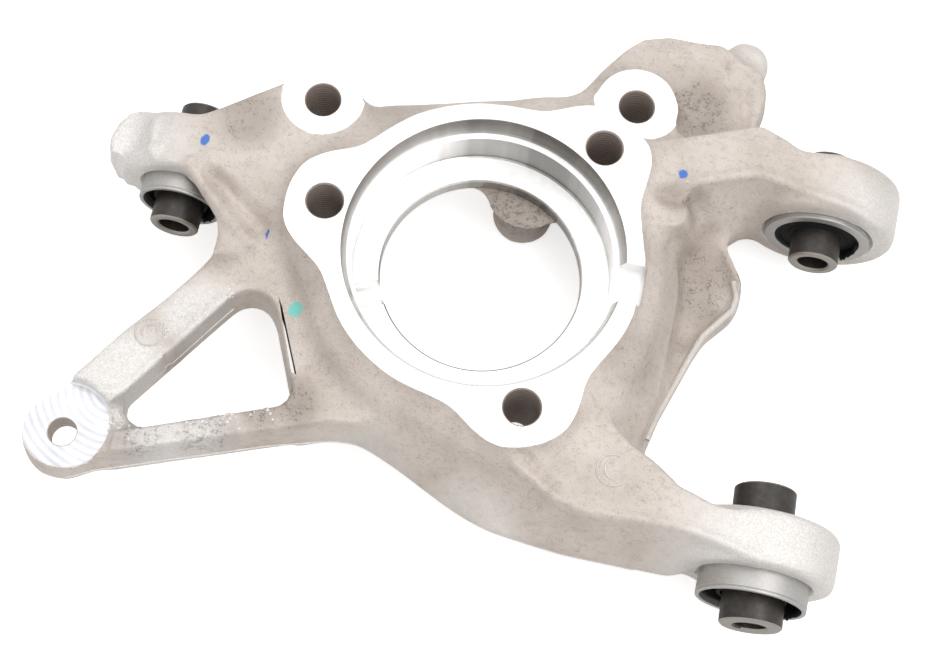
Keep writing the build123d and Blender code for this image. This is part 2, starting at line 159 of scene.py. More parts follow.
casting = {
    "voxel": 1.55,
    "fillet": 3.6,
    "relaxRounds": 9,
    "relaxSteps": (0.6, -0.58, 0.5),  # shrink, grow back, and both steps of the last round
    "sharpAngle": 38,
    "hubBolts": (55.0, 175.0, 295.0),
    "boltCircle": 65.5,
    "boltHole": 7.25,
    "faceRadius": 62.3,
    "faceMargin": 1.5,
    "lobeRise": 18.0,
    "lobeHalfAngle": 18.0,
    "boreProfile": (
        (0, 5), (56.0, 5), (56.0, 0), (53.9, -5.0), (53.9, -9.0), (51.8, -9.6), (51.8, -26.6), (51.0, -27.0),
        (41.2, -27.0), (40.6, -27.6), (40.6, -34.0), (0, -34.0),
    ),
    "notch": (40.0, 64.0, -8.7, 7.7, -7.0),  # nearest and farthest X, right and left Y, depth
    "groove": (204.0, 5.5, -26.0, 53.0),  # angle, radius, level, reach
    "calipers": (((-77.6, 52.5), 16.0), ((47.0, 79.4), 17.0)),
    "caliperFace": -10.0,
    "caliperHole": 7.0,
    "seatMargin": 0.8,
    "lug": (-143.3, -102.7),
    "lugLevels": (-22.0, -33.5),
    "spotface": (-142.6, -99.9, 17.3),
    "spotfaceFillet": 0.6,
    "lugHole": 5.5,
    "lugChamfer": 0.4,
    "chamfer": 0.5,
    "eyes": (
        {"x": -126.0, "z": -32.0, "bore": 16.8, "y": (9.4, 34.0)},
        {"x": 131.1, "z": -32.0, "bore": 21.4, "y": (50.0, 74.5)},
        {"x": 130.2, "z": -34.0, "bore": 21.7, "y": (-97.5, -75.0)},
    ),
    "mouth": 1.5,
    "ribGap": ((-75.2, -31.6), (-72.4, -36.2), (-60.4, -61.6), (-62.6, -61.0), (-71.0, -41.6)),
    # how far the cutters reach: over a face, under the back, to every side
    "above": 5,
    "below": -70,
    "beyond": 200,
    # metal that fills the machined places until they are cut
    "allowance": 3.0,
    "facePlug": -3.5,
    "borePlug": ((0, 2), (57.5, 2), (57.5, -28), (52.5, -33.2), (0, -33.2)),
    "boltPlug": ((0, 0), (8.5, 0), (8.5, -26), (0, -26)),
    "bossShoulder": 6,
    "bossFlare": 1,
    "bossFoot": -38,
    "lugBoss": (15.4, 16.3, 15.6),  # radius at the top, at the lower level and at the foot
    "eyeWall": 2.2,
    # cast forms that the solid leaves plain
    "overhang": (
        (-122.9, 10.7), (-118.5, 6.4), (-113.8, 1.3), (-108.6, -4.5), (-105.6, -9.9), (-103.7, -17.3),
        (-104.6, -24.0), (-92.0, -20.0), (-90.0, 6.0), (-102.0, 16.0), (-120.0, 17.0),
    ),
    "overhangLevels": (-11.5, -8.0),
    "eyeEnd": (
        (-157.6, 13.5), (-158.4, 20.0), (-157.4, 27.0), (-153.4, 33.4), (-147.0, 35.6), (-132.0, 35.2),
        (-130.0, 18.0), (-140.0, 12.0),
    ),
    "eyeEndLevels": (-46.0, -18.5),
    "lugFill": (
        (-143.0, -117.2), (-123.0, -109.8), (-110.0, -104.0), (-110.0, -96.0), (-128.0, -88.0),
        (-150.0, -92.0),
    ),
    "frameBack": (
        (-170.0, -125.0), (-46.0, -125.0), (-58.0, -80.0), (-67.0, -56.0), (-82.0, -27.0), (-100.0, -22.0),
        (-170.0, -60.0),
    ),
    "frameBackLevel": -34.5,
    "rearWeb": ((-30.0, 28.0), (-2.0, 28.0), (-2.0, 54.0), (-30.0, 54.0)),
    "rearWebLevel": -45.0,
    "backClearance": -80,
    "armWall": (  # outline and level of the hollow's floor, then of its mouth
        ((84.0, 36.9), (88.0, 38.2), (92.0, 38.6), (98.5, 43.3), (108.0, 47.0), (108.0, 22.0), (84.0, 24.0)),
        -31.0,
        ((75.0, 47.2), (79.0, 49.5), (89.0, 54.0), (99.5, 57.6), (109.0, 56.6), (109.0, 22.0), (75.0, 26.0)),
        -1.5,
    ),
}
boltPlaces = [
    [casting["boltCircle"] * f(radians(angle)) for f in (cos, sin)] for angle in casting["hubBolts"]
]


def hubReach(angle):  # how far the hub face reaches from the axis, in degrees round it
    reach = casting["faceRadius"]
    for bolt in casting["hubBolts"]:
        away = (angle - bolt + 180) % 360 - 180
        reach += casting["lobeRise"] * exp(-((away / casting["lobeHalfAngle"]) ** 4))
    return reach


def remeshed(piece, voxel):  # melts a piece into one skin of even faces
    melt = piece.modifiers.new("melt", "REMESH")
    melt.mode = "VOXEL"
    melt.voxel_size = voxel * mm
    finalMesh(piece)


def vertexArrays(mesh):
    points = np.zeros(len(mesh.vertices) * 3)
    mesh.vertices.foreach_get("co", points)
    normals = np.zeros(len(mesh.vertices) * 3)
    mesh.vertex_normals.foreach_get("vector", normals)
    return points.reshape(-1, 3), normals.reshape(-1, 3)


def setPoints(mesh, points):
    mesh.vertices.foreach_set("co", points.ravel())
    mesh.update()


def grown(piece, distance):  # moves the skin outwards
    points, normals = vertexArrays(piece.data)
    setPoints(piece.data, points + normals * distance * mm)


def relaxed(piece, rounds):  # shrinks and grows in turn, so edges round off and walls keep their size
    points, _ = vertexArrays(piece.data)
    edges = np.zeros(len(piece.data.edges) * 2, np.int64)
    piece.data.edges.foreach_get("vertices", edges)
    first, second = edges.reshape(-1, 2).T
    count = np.bincount(first, minlength=len(points)) + np.bincount(second, minlength=len(points))
    shrink, grow, last = casting["relaxSteps"]
    for i in range(rounds * 2):
        total = np.zeros_like(points)
        for axis in range(3):
            total[:, axis] = np.bincount(first, points[second, axis], len(points))
            total[:, axis] += np.bincount(second, points[first, axis], len(points))
        step = shrink if i % 2 == 0 else grow
        if i >= rounds * 2 - 2:
            step = last
        points = points + (total / count[:, None] - points) * step
    setPoints(piece.data, points)


def castBlank():
    solid = bmesh.new()
    solid.from_mesh(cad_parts["knuckle_casting"].data)
    bmesh.ops.remove_doubles(solid, verts=solid.verts, dist=1e-6)
    mesh = bpy.data.meshes.new("castBlank")
    solid.to_mesh(mesh)
    solid.free()
    more = casting["allowance"]
    outline = [(hubReach(a) * cos(radians(a)), hubReach(a) * sin(radians(a))) for a in range(0, 360, 2)]
    plugs = [
        prismMesh("facePlug", outline, casting["facePlug"], more),
        turnedMesh("borePlug", casting["borePlug"], 96),
    ]
    for x, y in boltPlaces:
        plugs.append(placed(turnedMesh("boltPlug", casting["boltPlug"], 32), (x, y, 0)))
    level, foot = casting["caliperFace"], casting["bossFoot"]
    for (x, y), radius in casting["calipers"]:
        profile = ((0, level + more), (radius, level + more), (radius, level - casting["bossShoulder"]),
                   (radius + casting["bossFlare"], foot), (0, foot))
        plugs.append(placed(turnedMesh("discPlug", profile, 64), (x, y, 0)))
    high, low = casting["lugLevels"]
    top, waist, foot = casting["lugBoss"]
    profile = ((0, high + more), (top, high + more), (waist, low), (foot, low - more), (0, low - more))
    plugs.append(placed(turnedMesh("lugPlug", profile, 64), (*casting["lug"], 0)))
    for eye in casting["eyes"]:
        start, end = eye["y"]
        wide = eye["bore"] + casting["eyeWall"]
        profile = ((0, start), (wide, start), (wide, end), (0, end))
        plugs.append(placed(turnedMesh("eyePlug", profile, 64), (eye["x"], 0, eye["z"]), 0))
    plugs.append(prismMesh("overhang", casting["overhang"], *casting["overhangLevels"]))
    plugs.append(prismMesh("eyeEnd", casting["eyeEnd"], *casting["eyeEndLevels"]))
    plugs.append(prismMesh("lugFill", casting["lugFill"], low + 1.0, high - 1.0))
    blank = newPiece("castBlank", mesh)
    joined = bmesh.new()
    joined.from_mesh(mesh)
    for plug in plugs:
        joined.from_mesh(plug)
    joined.to_mesh(mesh)
    joined.free()
    return blank


def cutAway(piece, cutters):  # cuts the piece with each mesh in turn, and names one that misses it
    for number, mesh in enumerate(cutters):
        tool = newPiece("cutter", mesh)
        cut = piece.modifiers.new("cut", "BOOLEAN")
        cut.operation = "DIFFERENCE"
        cut.solver = "MANIFOLD"
        cut.object = tool
        before = len(piece.data.polygons)
        finalMesh(piece)
        bpy.data.objects.remove(tool)
        if len(piece.data.polygons) == before:
            print("cutter", number, "changed nothing")


def pressed(piece, strokes):
    # pushes the skin in or out along strokes seen from above, which shapes ridges and hollows
    points, normals = vertexArrays(piece.data)
    flat, move = points[:, :2] / mm, np.zeros(len(points))
    angles = np.degrees(np.arctan2(flat[:, 1], flat[:, 0]))
    faceReach = np.array([hubReach(a) for a in angles]) + casting["faceMargin"]
    for depth, radius, low, high, path in strokes:
        nearest = np.full(len(points), 1e9)
        for start, end in zip(path, path[1:] or path):
            start, end = np.array(start), np.array(end)
            along = end - start
            share = np.clip((flat - start) @ along / max(along @ along, 1e-9), 0, 1)
            nearest = np.minimum(nearest, np.hypot(*(flat - start - share[:, None] * along).T))
        level, away = points[:, 2] / mm, np.hypot(flat[:, 0], flat[:, 1])
        fits = (level > low) & (level < high) & (away > faceReach)
        move += np.where(fits & (nearest < radius), depth * np.cos(nearest / radius * pi / 2) ** 2, 0)
    setPoints(piece.data, points + normals * move[:, None] * mm)


# each stroke: how far it pushes out, its radius, the levels it works between and its path
castStrokes = (
    (2.2, 4.0, -22, 0, ((-122.0, 12.0), (-116.5, 7.3), (-105.6, -3.3), (-96.2, -11.1), (-90.4, -14.9))),
    (-3.8, 6.5, -22, 0, ((-112.0, 8.5), (-103.0, 3.0), (-94.0, -3.5), (-89.0, -8.0))),
    (1.0, 4.0, -22, 0, ((-116.5, 14.8), (-107.5, 11.7), (-98.4, 8.1), (-90.4, 3.8), (-85.7, 1.4))),
    (1.5, 3.5, -40, -8, ((-156.0, 9.0), (-146.7, 12.9), (-139.4, 15.1), (-131.0, 17.0))),
    (1.2, 3.0, -30, 0, ((-141.1, 28.8), (-140.0, 22.0), (-137.6, 13.0))),
    (-3.4, 6.5, -28, 0, ((65.0, 41.0), (71.0, 41.0), (79.0, 43.0))),
    (1.3, 3.0, -12, 0, (
        (64.5, 46.0), (71.0, 47.5), (78.0, 50.5), (89.0, 55.0), (100.6, 59.0), (110.0, 57.6), (125.8, 54.0),
        (142.0, 52.0), (154.9, 49.4),
    )),
    (1.3, 3.2, -20, 0, (
        (28.5, -79.6), (47.6, -89.6), (59.3, -92.5), (80.2, -90.8), (95.3, -89.3), (127.1, -95.3),
    )),
    (-1.3, 3.0, -20, 0, ((30.6, -76.0), (44.0, -84.5), (47.0, -87.0))),
    (1.1, 3.0, -20, 0, ((52.1, -50.5), (60.0, -57.0), (72.3, -65.4), (90.0, -72.0))),
    (1.4, 5.0, -30, -8, ((54.0, 110.5), (58.0, 113.0), (63.0, 111.0), (61.0, 107.0), (55.0, 109.0))),
    (-1.5, 2.4, -30, -8, ((56.0, 106.8),)),
    (-1.5, 2.4, -30, -8, ((61.6, 104.6),)),
    (-2.6, 9.0, -34, -10, ((66.0, 92.0), (72.0, 86.0), (76.0, 96.0))),
    (1.6, 4.0, -34, -10, ((82.6, 112.9), (88.0, 112.0), (94.6, 109.7))),
    (-1.6, 3.5, -34, -10, ((79.5, 112.0), (82.0, 104.0), (90.2, 103.4), (92.9, 83.1))),
    (-1.2, 3.0, -30, -8, ((-60.0, -74.0), (-56.0, -71.0), (-52.5, -73.0))),
    (1.0, 3.0, -26, -8, ((-134.0, -86.0), (-124.0, -84.0), (-96.0, -38.0))),
    (-0.9, 2.6, -30, -8, ((-112.0, -66.0),)),
    (-0.9, 2.2, -30, -8, ((-93.5, -45.0),)),
    (-0.8, 2.0, -30, -8, ((-99.0, -96.0),)),
)

blank = castBlank()
remeshed(blank, casting["voxel"])
lowWall, lowLevel, highWall, highLevel = casting["armWall"]
cutAway(blank, [
    prismMesh("frameBack", casting["frameBack"], casting["backClearance"], casting["frameBackLevel"]),
    prismMesh("rearWeb", casting["rearWeb"], casting["backClearance"], casting["rearWebLevel"]),
    prismMesh("armWall", lowWall, lowLevel, highLevel, highWall),
])
remeshed(blank, casting["voxel"])  # the cuts leave large triangles, which would fold over while growing
grown(blank, casting["fillet"])
remeshed(blank, casting["voxel"])
grown(blank, -casting["fillet"])
relaxed(blank, casting["relaxRounds"])
pressed(blank, castStrokes)
print("stage: casting blank,", len(blank.data.polygons), "faces")


def holeCutter(name, place, radius, top, chamfer, segments, seat=None):
    # a hole through the part with a chamfer at its top level, and a flat seat of a given radius round it
    above, below = casting["above"], casting["below"]
    profile = [(radius + chamfer, top), (radius, top - chamfer), (radius, below), (0, below)]
    if seat is None:
        profile = [(0, above), (radius + chamfer, above)] + profile
    else:
        profile = [(0, above), (seat, above), (seat, top)] + profile
    return placed(turnedMesh(name, profile, segments), (*place, 0))


def castingCutters():
    above, beyond, chamfer = casting["above"], casting["beyond"], casting["chamfer"]
    corners = ((-beyond, -beyond), (beyond, -beyond), (beyond, beyond), (-beyond, beyond))
    cutters = [prismMesh("face", corners, 0, 30), turnedMesh("bore", casting["boreProfile"], 256)]
    low, high, right, left, depth = casting["notch"]
    cutters.append(prismMesh("notch", ((low, right), (high, right), (high, left), (low, left)), depth, 20))
    angle, radius, level, reach = casting["groove"]
    groove = turnedMesh("groove", ((0, 0), (radius, 0), (radius, reach), (0, reach)), 64)
    groove.transform(Matrix.Rotation(radians(angle), 4, "Z") @ Matrix.Rotation(radians(90), 4, "Y"))
    cutters.append(placed(groove, (0, 0, level)))
    for place in boltPlaces:
        cutters.append(holeCutter("bolt", place, casting["boltHole"], 0, chamfer, 72))
    for place, radius in casting["calipers"]:
        level, hole = casting["caliperFace"], casting["caliperHole"]
        seat = radius + casting["seatMargin"]
        cutters.append(holeCutter("caliper", place, hole, level, chamfer, 96, seat))
    high, low = casting["lugLevels"]
    x, y, wide = casting["spotface"]
    fillet = casting["spotfaceFillet"]
    profile = ((0, above), (wide, above), (wide, high + fillet), (wide - fillet, high), (0, high))
    cutters.append(placed(turnedMesh("spotface", profile, 96), (x, y, 0)))
    profile = ((0, low), (wide, low), (wide, low - 30), (0, low - 30))
    cutters.append(placed(turnedMesh("lugBack", profile, 96), (x, y, 0)))
    hole, chamfer = casting["lugHole"], casting["lugChamfer"]
    cutters.append(holeCutter("lugHole", casting["lug"], hole, high, chamfer, 64))
    mouth, past = casting["mouth"], 20
    for eye in casting["eyes"]:
        start, end = eye["y"]
        r, wide = eye["bore"], eye["bore"] + mouth
        profile = ((0, start - past), (wide, start - past), (wide, start), (r, start + mouth),
                   (r, end - mouth), (wide, end), (wide, end + past), (0, end + past))
        cutters.append(placed(turnedMesh("eye", profile, 144), (eye["x"], 0, eye["z"]), 0))
    cutters.append(prismMesh("gap", casting["ribGap"], -60, above))
    return cutters


cutAway(blank, castingCutters())
print("stage: casting cut,", len(blank.data.polygons), "faces")


# materials

def linear(code):  # an sRGB hex value as linear red, green, blue and alpha
    values = [int(code[i:i + 2], 16) / 255 for i in (1, 3, 5)]
    return [v / 12.92 if v <= 0.04045 else ((v + 0.055) / 1.055) ** 2.4 for v in values] + [1.0]


def addNode(tree, kind, settings=None, links=None):
    node = tree.nodes.new(kind)
    for name, value in (settings or {}).items():
        if isinstance(name, int) or name in node.inputs:
            node.inputs[name].default_value = value
        else:
            setattr(node, name, value)
    for name, socket in (links or {}).items():
        tree.links.new(socket, node.inputs[name])
    return node


def newMaterial(name):
    material = bpy.data.materials.new(name)
    material.use_nodes = True
    tree = material.node_tree
    tree.nodes.clear()
    shader = addNode(tree, "ShaderNodeBsdfPrincipled")
    addNode(tree, "ShaderNodeOutputMaterial", {}, {"Surface": shader.outputs["BSDF"]})
    return material, tree, shader


def waveScale(pitch):  # a wave texture of scale 1 repeats 3.2 times a metre
    return 1 / (pitch * mm) / 3.2


def dressed(tree, shader, colour, gloss, height, strength, depth):
    # the colour of a material, its constant values, and a bump as deep as depth in millimetres
    tree.links.new(colour, shader.inputs["Base Color"])
    for name, value in gloss.items():
        shader.inputs[name].default_value = value
    bump = addNode(
        tree, "ShaderNodeBump", {"Strength": strength, "Distance": depth * mm}, {"Height": height},
    )
    tree.links.new(bump.outputs["Normal"], shader.inputs["Normal"])


castMetal = {
    "tone": "#d3c8bf", "pale": "#ded6ce", "dull": "#bfb4ab", "speck": "#8d847d",
    # on the next line the first two tones are a painted sheen and its painted glints, the third a painted
    # shade
    "sheenTone": "#dddbd8", "paintedGlint": "#fbfaf9", "paintedShade": "#93887f", "sootTone": "#6e6863",
    # size in millimetres, detail and roughness of the broad tones, the mottle, the grain and the sand
    "patterns": ((26.0, 4.0, 0.6), (2.6, 6.0, 0.7), (0.8, 4.0, 0.7), (0.45, 2.0, 0.6)),
    # dabs of marking paint: colour, place, stretch and radius
    "paint": (
        ("#3f78cc", (-118.6, 22.8, -6.0), (1.1, 0.78, 0.2), 1.9),
        ("#3a76cf", (70.3, 51.0, -6.0), (1.0, 0.85, 0.2), 1.95),
        ("#4a68c8", (-85.0, -9.7, -6.0), (2.6, 0.75, 0.2), 1.7),
        ("#7fd6cc", (-67.0, -36.2, -15.0), (1.0, 1.0, 0.2), 2.8),
    ),
    "paintWobble": 2.2,
    "paintShift": 1.1,  # half the wobble, so that a dab stays round its place
    "paintEdge": 0.25,
    # places of painted sheen, then sooty places that a painted shade also darkens: centre, radius and
    # strength
    "shine": (
        ((-128.0, -78.0, -18.0), 28.0, 0.9), ((-104.0, -46.0, -18.0), 20.0, 0.75),
        ((-100.0, -94.0, -20.0), 26.0, 0.8), ((-144.0, 18.0, -26.0), 32.0, 1.0),
        ((-126.0, 8.0, -30.0), 22.0, 0.8), ((132.0, -90.0, -26.0), 50.0, 0.9),
        ((146.0, 56.0, -24.0), 36.0, 0.75), ((90.0, 119.0, -34.0), 14.0, 0.7),
        ((104.0, 14.0, -38.0), 11.0, 0.7), ((98.0, -12.0, -38.0), 13.0, 0.6),
        ((84.0, -44.0, -38.0), 16.0, 0.6), ((-30.0, -88.0, -36.0), 26.0, 0.4),
        ((20.0, -98.0, -36.0), 26.0, 0.4), ((-72.0, -36.0, -30.0), 14.0, 0.5),
    ),
    "sootAndShade": (
        ((-105.0, 36.0, -6.0), 17.0, 0.75), ((72.0, 88.0, -18.0), 21.0, 0.95),
        ((66.0, -28.0, -8.0), 18.0, 0.6), ((88.0, 18.0, -38.0), 24.0, 0.85),
        ((84.0, -14.0, -40.0), 18.0, 0.6), ((62.0, 96.0, -16.0), 16.0, 0.5),
        ((45.0, -86.0, -12.0), 9.0, 0.6), ((-58.0, -73.0, -12.0), 14.0, 0.9),
        ((-90.0, -93.0, -18.0), 17.0, 1.0), ((-113.0, -99.0, -18.0), 14.0, 1.0),
        ((-70.0, -80.0, -16.0), 10.0, 0.9), ((-110.0, -60.0, -26.0), 14.0, 0.6),
        ((68.5, 40.0, -14.0), 14.0, 1.0), ((145.0, 70.0, -14.0), 14.0, 0.6),
        # the first place on the next line is painted shade under the hub, seen through the bore
        ((10.0, 36.0, -38.0), 28.0, 1.0), ((-46.0, 52.0, -10.0), 20.0, 0.5),
        ((30.0, 102.0, -12.0), 16.0, 0.5), ((-64.0, -20.0, -6.0), 14.0, 0.3),
    ),
    "gloss": {"Roughness": (0.54, 0.36), "Metallic": (0.4, 0.8)},  # at no painted sheen and at full painted sheen
}


def castAluminium():
    # die-cast skin left as cast: beige grey and dull, with a broken speckled grain
    # the attribute shine marks a painted sheen: there the colour turns pale, with painted glints from the
    # grain, and the skin is glossier
    # the attribute soot marks denser dark specks of burnt die lubricant, and a painted shade that darkens the
    # same places broadly, most of all under the hub
    # the speckles are drawn coarser than real ones, so that they show in the render
    material, tree, shader = newMaterial("castAluminium")
    place = addNode(tree, "ShaderNodeTexCoord").outputs["Object"]
    shine, sootAndShade = (
        addNode(tree, "ShaderNodeAttribute", {"attribute_name": name}).outputs["Fac"]
        for name in ("shine", "sootAndShade")
    )
    tones, mottle, grain, sand = (
        addNode(
            tree, "ShaderNodeTexNoise", {"Scale": 1 / (size * mm), "Detail": detail, "Roughness": rough},
            {"Vector": place},
        )
        for size, detail, rough in castMetal["patterns"]
    )
    broad = addNode(
        tree, "ShaderNodeMapRange", {"From Min": 0.35, "From Max": 0.65}, {"Value": tones.outputs["Fac"]},
    )
    base = addNode(
        tree, "ShaderNodeMix",
        {"data_type": "RGBA", 6: linear(castMetal["dull"]), 7: linear(castMetal["pale"])},
        {0: broad.outputs["Result"]},
    )
    base = addNode(
        tree, "ShaderNodeMix", {"data_type": "RGBA", 0: 0.45, 7: linear(castMetal["tone"])},
        {6: base.outputs[2]},
    )
    mixedGrain = addNode(
        tree, "ShaderNodeMath", {"operation": "MULTIPLY"},
        {0: mottle.outputs["Fac"], 1: grain.outputs["Fac"]},
    ).outputs[0]
    # painted shade: the soot places are darkened broadly towards a shade tone
    paintedShade = addNode(tree, "ShaderNodeMath", {"operation": "MULTIPLY", 1: 0.55}, {0: sootAndShade})
    base = addNode(
        tree, "ShaderNodeMix", {"data_type": "RGBA", 7: linear(castMetal["paintedShade"])},
        {0: paintedShade.outputs[0], 6: base.outputs[2]},
    )
    faint = addNode(
        tree, "ShaderNodeMapRange", {"From Min": 0.25, "From Max": 0.42, "To Max": 0.55},
        {"Value": mixedGrain},
    )
    speckled = addNode(
        tree, "ShaderNodeMix", {"data_type": "RGBA", 7: linear(castMetal["speck"])},
        {0: faint.outputs["Result"], 6: base.outputs[2]},
    )
    limit = addNode(tree, "ShaderNodeMapRange", {"To Min": 0.44, "To Max": 0.25}, {"Value": sootAndShade})
    over = addNode(
        tree, "ShaderNodeMath", {"operation": "SUBTRACT"}, {0: mixedGrain, 1: limit.outputs["Result"]},
    )
    dark = addNode(
        tree, "ShaderNodeMapRange", {"From Max": 0.07, "To Max": 0.6}, {"Value": over.outputs[0]},
    )
    # painted sheen: where shine is high the colour turns pale, with painted glints where the grain is high
    sheenShare = addNode(tree, "ShaderNodeMath", {"operation": "MULTIPLY", 1: 0.75}, {0: shine})
    glintShare = addNode(
        tree, "ShaderNodeMapRange", {"From Min": 0.4, "From Max": 0.6}, {"Value": grain.outputs["Fac"]},
    )
    paintedGlint = addNode(
        tree, "ShaderNodeMix",
        {"data_type": "RGBA", 6: linear(castMetal["sheenTone"]), 7: linear(castMetal["paintedGlint"])},
        {0: glintShare.outputs["Result"]},
    )
    sheened = addNode(
        tree, "ShaderNodeMix", {"data_type": "RGBA"},
        {0: sheenShare.outputs[0], 6: speckled.outputs[2], 7: paintedGlint.outputs[2]},
    )
    colour = addNode(
        tree, "ShaderNodeMix", {"data_type": "RGBA", 7: linear(castMetal["sootTone"])},
        {0: dark.outputs["Result"], 6: sheened.outputs[2]},
    ).outputs[2]
    wobble = addNode(
        tree, "ShaderNodeVectorMath",
        {"operation": "MULTIPLY_ADD", 1: (castMetal["paintWobble"] * mm,) * 3},
        {0: mottle.outputs["Color"], 2: place},
    )
    shift, edge = castMetal["paintShift"], castMetal["paintEdge"]
    for code, centre, stretch, radius in castMetal["paint"]:
        away = addNode(
            tree, "ShaderNodeVectorMath", {"operation": "SUBTRACT", 1: [(c + shift) * mm for c in centre]},
            {0: wobble.outputs[0]},
        )
        drawn = addNode(
            tree, "ShaderNodeVectorMath", {"operation": "MULTIPLY", 1: stretch}, {0: away.outputs[0]},
        )
        reach = addNode(tree, "ShaderNodeVectorMath", {"operation": "LENGTH"}, {0: drawn.outputs[0]})
        mark = addNode(
            tree, "ShaderNodeMapRange",
            {"From Min": (radius + edge) * mm, "From Max": (radius - edge) * mm, "To Max": 0.92},
            {"Value": reach.outputs["Value"]},
        )
        colour = addNode(
            tree, "ShaderNodeMix", {"data_type": "RGBA", 7: linear(code)},
            {0: mark.outputs["Result"], 6: colour},
        ).outputs[2]
    for name, (plain, full) in castMetal["gloss"].items():
        change = addNode(tree, "ShaderNodeMapRange", {"To Min": plain, "To Max": full}, {"Value": shine})
        tree.links.new(change.outputs["Result"], shader.inputs[name])
    height = addNode(
        tree, "ShaderNodeMath", {"operation": "MULTIPLY_ADD", 1: 0.5},
        {0: mottle.outputs["Fac"], 2: sand.outputs["Fac"]},
    )
    height = addNode(
        tree, "ShaderNodeMath", {"operation": "ADD"}, {0: height.outputs[0], 1: grain.outputs["Fac"]},
    )
    dressed(tree, shader, colour, {}, height.outputs[0], 0.6, 0.6)
    return material


# two tones of each machined finish, and the pitch in millimetres of its feed lines, rings or passes
cutMetal = {
    "milled": ("#f6f5f4", "#d4d3d2", 0.5),
    # the turned tones are the dark and pale of a painted reflection round the bore
    "turned": ("#92908c", "#f0eeec", 0.744),
    "spotfaced": ("#e2e2e6", "#aaadb6", 2.976),
    "drilled": ("#94877f", "#cfc3ba", 2.083),
    "boreShade": 72,  # degrees round the axis where the painted reflection on the bore wall is darkest, as if it mirrored the dark side of the room
    "spotfaceCentre": (-128.0, -81.0, -22.0),
}


def milledAluminium():
    # bare metal cut by a milling tool: near white, glossy, with fine feed rings that draw out reflections
    material, tree, shader = newMaterial("milledAluminium")
    pale, shade, feed = cutMetal["milled"]
    place = addNode(tree, "ShaderNodeTexCoord").outputs["Object"]
    noise = addNode(
        tree, "ShaderNodeTexNoise", {"Scale": 1 / (4.5 * mm), "Detail": 3.0, "Roughness": 0.6},
        {"Vector": place},
    )
    rings = addNode(
        tree, "ShaderNodeTexWave",
        {"wave_type": "RINGS", "rings_direction": "Z", "Scale": waveScale(feed), "Distortion": 0.4,
         "Detail": 1.0},
        {"Vector": place},
    )
    tint = addNode(
        tree, "ShaderNodeMapRange", {"From Min": 0.3, "From Max": 0.7, "To Max": 0.35},
        {"Value": noise.outputs["Fac"]},
    )
    colour = addNode(
        tree, "ShaderNodeMix", {"data_type": "RGBA", 6: linear(pale), 7: linear(shade)},
        {0: tint.outputs["Result"]},
    )
    gloss = {"Metallic": 1.0, "Roughness": 0.42}
    dressed(tree, shader, colour.outputs[2], gloss, rings.outputs["Fac"], 0.12, 0.1)
    return material


def turnedAluminium():
    # bore wall turned at high speed: mirror-like, with a painted reflection of light and dark bands stretched
    # round it
    material, tree, shader = newMaterial("turnedAluminium")
    shade, pale, feed = cutMetal["turned"]
    place = addNode(tree, "ShaderNodeTexCoord").outputs["Object"]
    parts = addNode(tree, "ShaderNodeSeparateXYZ", {}, {0: place})
    angle = addNode(
        tree, "ShaderNodeMath", {"operation": "ARCTAN2"}, {0: parts.outputs["Y"], 1: parts.outputs["X"]},
    )
    bands = addNode(
        tree, "ShaderNodeTexNoise",
        {"noise_dimensions": "1D", "Scale": 3.0, "Detail": 3.0, "Roughness": 0.5},
        {"W": angle.outputs[0]},
    )
    # painted reflection: dark where the angle round the axis nears boreShade, pale away from it, in wavy
    # bands
    turn = addNode(
        tree, "ShaderNodeMath", {"operation": "SUBTRACT", 1: radians(cutMetal["boreShade"])},
        {0: angle.outputs[0]},
    )
    away = addNode(tree, "ShaderNodeMath", {"operation": "ABSOLUTE"}, {0: turn.outputs[0]})
    wavy = addNode(
        tree, "ShaderNodeMath", {"operation": "MULTIPLY_ADD", 1: 1.3},
        {0: bands.outputs["Fac"], 2: away.outputs[0]},
    )
    share = addNode(
        tree, "ShaderNodeMapRange", {"From Min": 0.75, "From Max": 1.75}, {"Value": wavy.outputs[0]},
    )
    colour = addNode(
        tree, "ShaderNodeMix", {"data_type": "RGBA", 6: linear(shade), 7: linear(pale)},
        {0: share.outputs["Result"]},
    )
    lines = addNode(
        tree, "ShaderNodeTexWave",
        {"wave_type": "BANDS", "bands_direction": "Z", "Scale": waveScale(feed), "Distortion": 0.6,
         "Detail": 1.0},
        {"Vector": place},
    )
    gloss = {"Metallic": 1.0, "Roughness": 0.26}
    dressed(tree, shader, colour.outputs[2], gloss, lines.outputs["Fac"], 0.15, 0.1)
    return material


def spotfacedAluminium():
    # spot-faced by an end mill swept over the lug: arcs of its last passes stand as grey and white bands
    material, tree, shader = newMaterial("spotfacedAluminium")
    pale, shade, pitch = cutMetal["spotfaced"]
    place = addNode(tree, "ShaderNodeTexCoord").outputs["Object"]
    shifted = addNode(
        tree, "ShaderNodeVectorMath",
        {"operation": "SUBTRACT", 1: [v * mm for v in cutMetal["spotfaceCentre"]]},
        {0: place},
    )
    arcs = addNode(
        tree, "ShaderNodeTexWave",
        {"wave_type": "RINGS", "rings_direction": "Z", "Scale": waveScale(pitch), "Distortion": 3.5,
         "Detail": 2.0,
         "Detail Scale": 40.0},
        {"Vector": shifted.outputs[0]},
    )
    cloud = addNode(
        tree, "ShaderNodeTexNoise", {"Scale": 1 / (9.0 * mm), "Detail": 3.0, "Roughness": 0.6},
        {"Vector": place},
    )
    share = addNode(
        tree, "ShaderNodeMath", {"operation": "MULTIPLY"},
        {0: arcs.outputs["Fac"], 1: cloud.outputs["Fac"]},
    )
    colour = addNode(
        tree, "ShaderNodeMix", {"data_type": "RGBA", 6: linear(pale), 7: linear(shade)},
        {0: share.outputs[0]},
    )
    gloss = {"Metallic": 0.85, "Roughness": 0.34}
    dressed(tree, shader, colour.outputs[2], gloss, arcs.outputs["Fac"], 0.2, 0.1)
    return material


